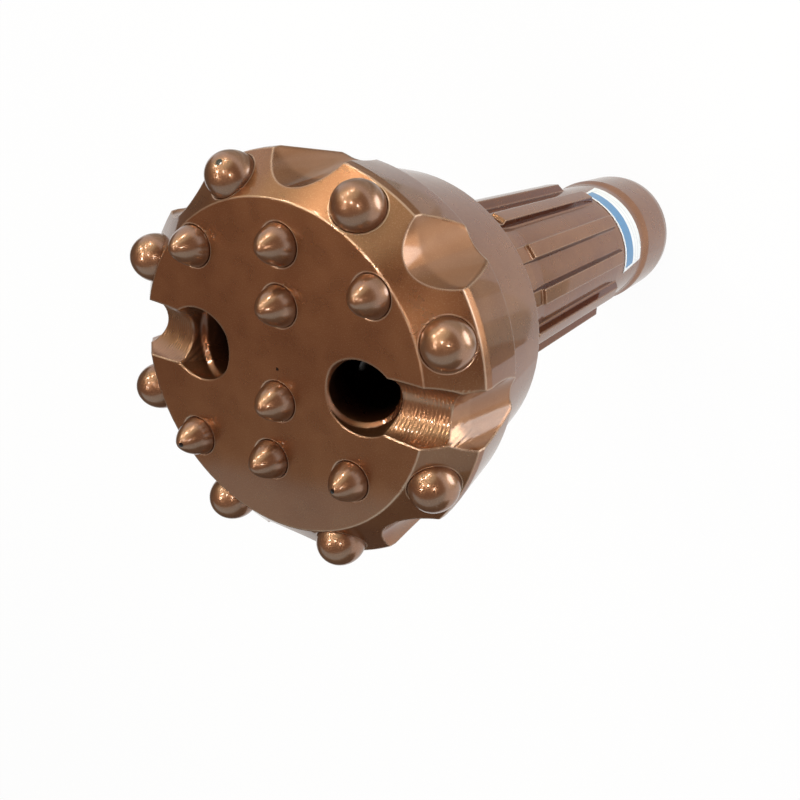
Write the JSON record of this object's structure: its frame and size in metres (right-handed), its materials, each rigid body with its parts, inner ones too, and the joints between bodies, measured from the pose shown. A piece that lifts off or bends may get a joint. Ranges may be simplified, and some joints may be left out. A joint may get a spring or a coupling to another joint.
{
  "type": "rock drill bit",
  "caption": "Down-the-hole hammer button bit: fluted steel head with pressed carbide buttons, two flushing slots and holes, splined shank and plain guide end.",
  "frame": {"origin": "centre of the strike face, on the bit's axis, where the bit stands on its shank end", "axes": "+Z along the bit's axis from the strike face to the cutting face; +X through the middle of one flushing slot; +Y completes the right-handed frame"},
  "size_m": [0.1488, 0.1476, 0.3592],
  "materials": {
    "painted_steel": "glossy bronze metallic paint over forged steel",
    "painted_carbide": "glossy bronze metallic paint over carbide",
    "sticker": "semi-gloss white sticker with a blue band"
  },
  "bodies": {
    "root": {"bit_body": "painted_steel", "gauge_button_1": "painted_carbide", "gauge_button_2": "painted_carbide", "gauge_button_3": "painted_carbide", "gauge_button_4": "painted_carbide", "gauge_button_5": "painted_carbide", "gauge_button_6": "painted_carbide", "gauge_button_7": "painted_carbide", "gauge_button_8": "painted_carbide", "front_button_1": "painted_carbide", "front_button_2": "painted_carbide", "front_button_3": "painted_carbide", "front_button_4": "painted_carbide", "front_button_5": "painted_carbide", "front_button_6": "painted_carbide", "front_button_7": "painted_carbide", "front_button_8": "painted_carbide", "label_sticker": "sticker"}
  },
  "joints": []
}
